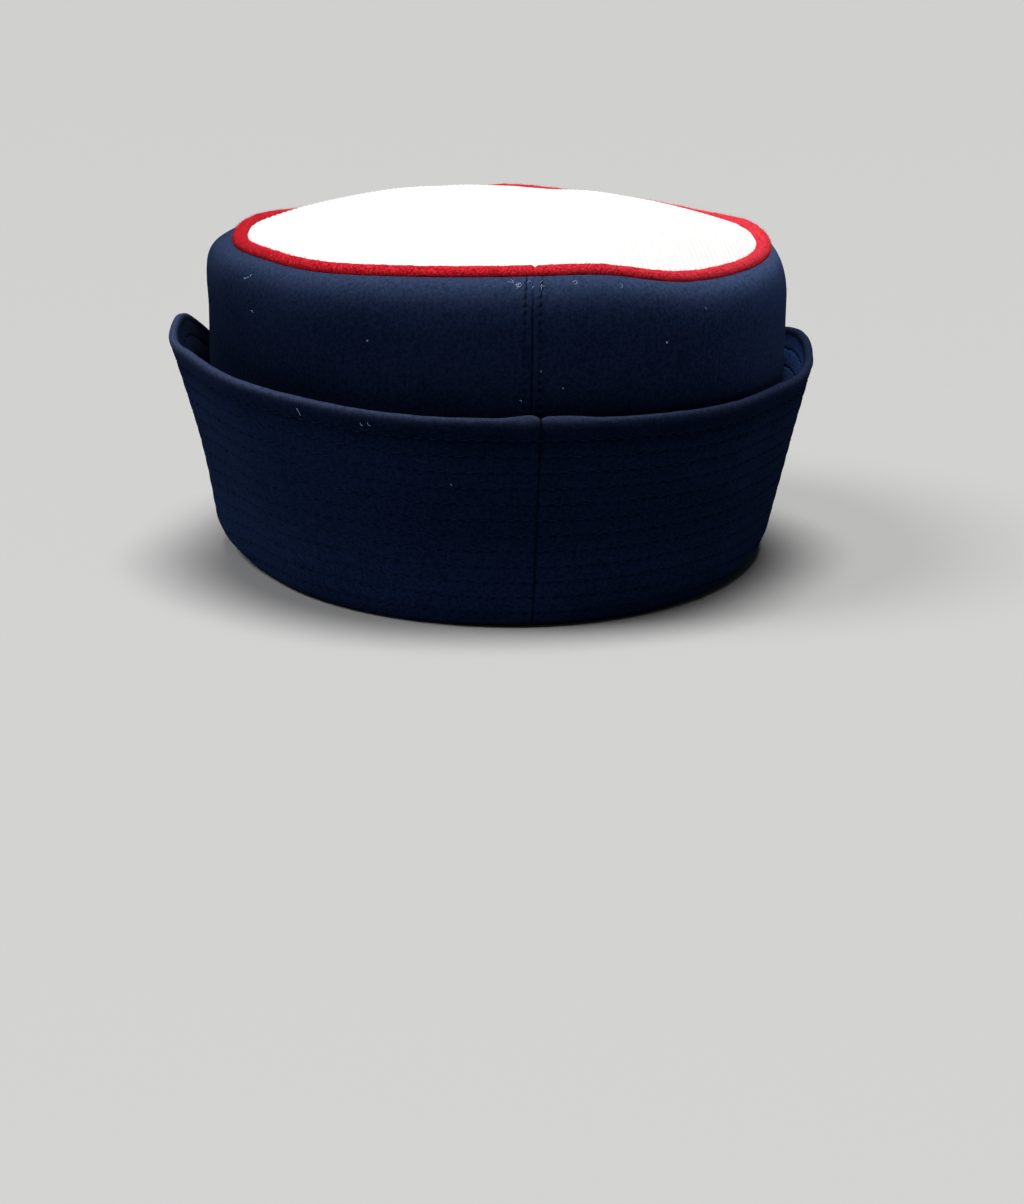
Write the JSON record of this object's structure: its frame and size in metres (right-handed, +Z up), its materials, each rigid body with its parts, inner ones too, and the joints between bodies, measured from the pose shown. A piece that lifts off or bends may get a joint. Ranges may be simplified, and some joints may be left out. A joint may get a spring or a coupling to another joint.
{
  "type": "tricorn hat",
  "caption": "Tricorn hat with a brim turned up around a soft round crown, a domed top panel and piping in the top seam; open below for the head.",
  "frame": {"origin": "middle of the bounding box's underside, on the surface that the hat rests on", "axes": "+Z up, -Y towards the front point, +X towards the wearer's left"},
  "size_m": [0.2268, 0.2788, 0.1293],
  "materials": {
    "crown_cloth": "navy felted wool",
    "brim_cloth": "navy wool serge, quilted",
    "white_cloth": "white ribbed cloth",
    "red_wool": "red wool felt"
  },
  "bodies": {
    "root": {"crown_band": "crown_cloth", "brim": "brim_cloth", "top_panel": "white_cloth", "top_piping": "red_wool"}
  },
  "joints": []
}
